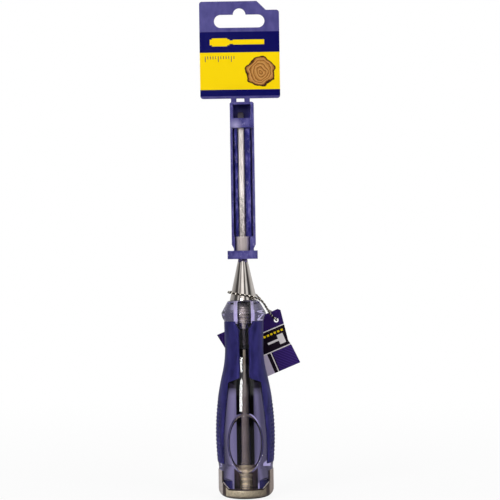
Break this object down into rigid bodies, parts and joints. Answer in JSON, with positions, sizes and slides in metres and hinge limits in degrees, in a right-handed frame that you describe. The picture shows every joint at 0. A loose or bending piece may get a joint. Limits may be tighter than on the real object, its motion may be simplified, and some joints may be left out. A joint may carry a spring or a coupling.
{
  "type": "wood chisel",
  "caption": "Narrow wood chisel with a clear handle, soft side grips, steel through-core and strike cap, in a slide-on blade guard with a hanging plate and a chained tag.",
  "frame": {"origin": "middle of the strike face under the cap, where the chisel stands", "axes": "+Z along the chisel towards the cutting edge, -Y out of the label's face, +X to the right of that face"},
  "size_m": [0.0665, 0.042, 0.3398],
  "materials": {
    "blade_steel": "polished cone, ground blade",
    "dark_steel": "blackened steel",
    "rod_steel": "drawn bar",
    "anchor_steel": "yellow plated",
    "clear_plastic": "clear, violet tint",
    "soft_grip": "matt, soft touch",
    "cap_steel": "satin",
    "guard_plastic": "satin moulding",
    "label_print": "printed film",
    "chain_metal": "plated",
    "tag_card": "printed, coated"
  },
  "bodies": {
    "chisel": {"blade": "blade_steel", "tang_sleeve": "dark_steel", "core_rod": "rod_steel", "anchor": "anchor_steel", "handle_core": "clear_plastic", "grip_left": "soft_grip", "grip_right": "soft_grip", "cap_cushion": "soft_grip", "strike_cap": "cap_steel"},
    "guard": {"blade_guard": "guard_plastic"},
    "hanger": {"hanger_plate": "guard_plastic", "label": "label_print"},
    "tag_loop": {"tag_chain": "chain_metal", "chain_clasp": "chain_metal"},
    "tag": {"hang_tag": "tag_card"}
  },
  "joints": [
    {"name": "guard_slide", "type": "slide", "parent": "chisel", "child": "guard", "axis": [0, 0, 1], "range_m": [0, 0.108]},
    {"name": "hanger_bend", "type": "hinge", "parent": "guard", "child": "hanger", "pos_m": [0, 0.0059, 0.27025], "axis": [1, 0, 0], "range_deg": [-25, 25], "stiffness_Nm_per_rad": 0.05},
    {"name": "loop_turn", "type": "hinge", "parent": "chisel", "child": "tag_loop", "pos_m": [0, 0, 0.1376], "axis": [0, 0, 1], "range_deg": [-30, 30]},
    {"name": "tag_swing", "type": "hinge", "parent": "tag_loop", "child": "tag", "pos_m": [0.0226, 0.0186, 0.1192], "axis": [0, 1, 0], "range_deg": [-30, 20]}
  ]
}
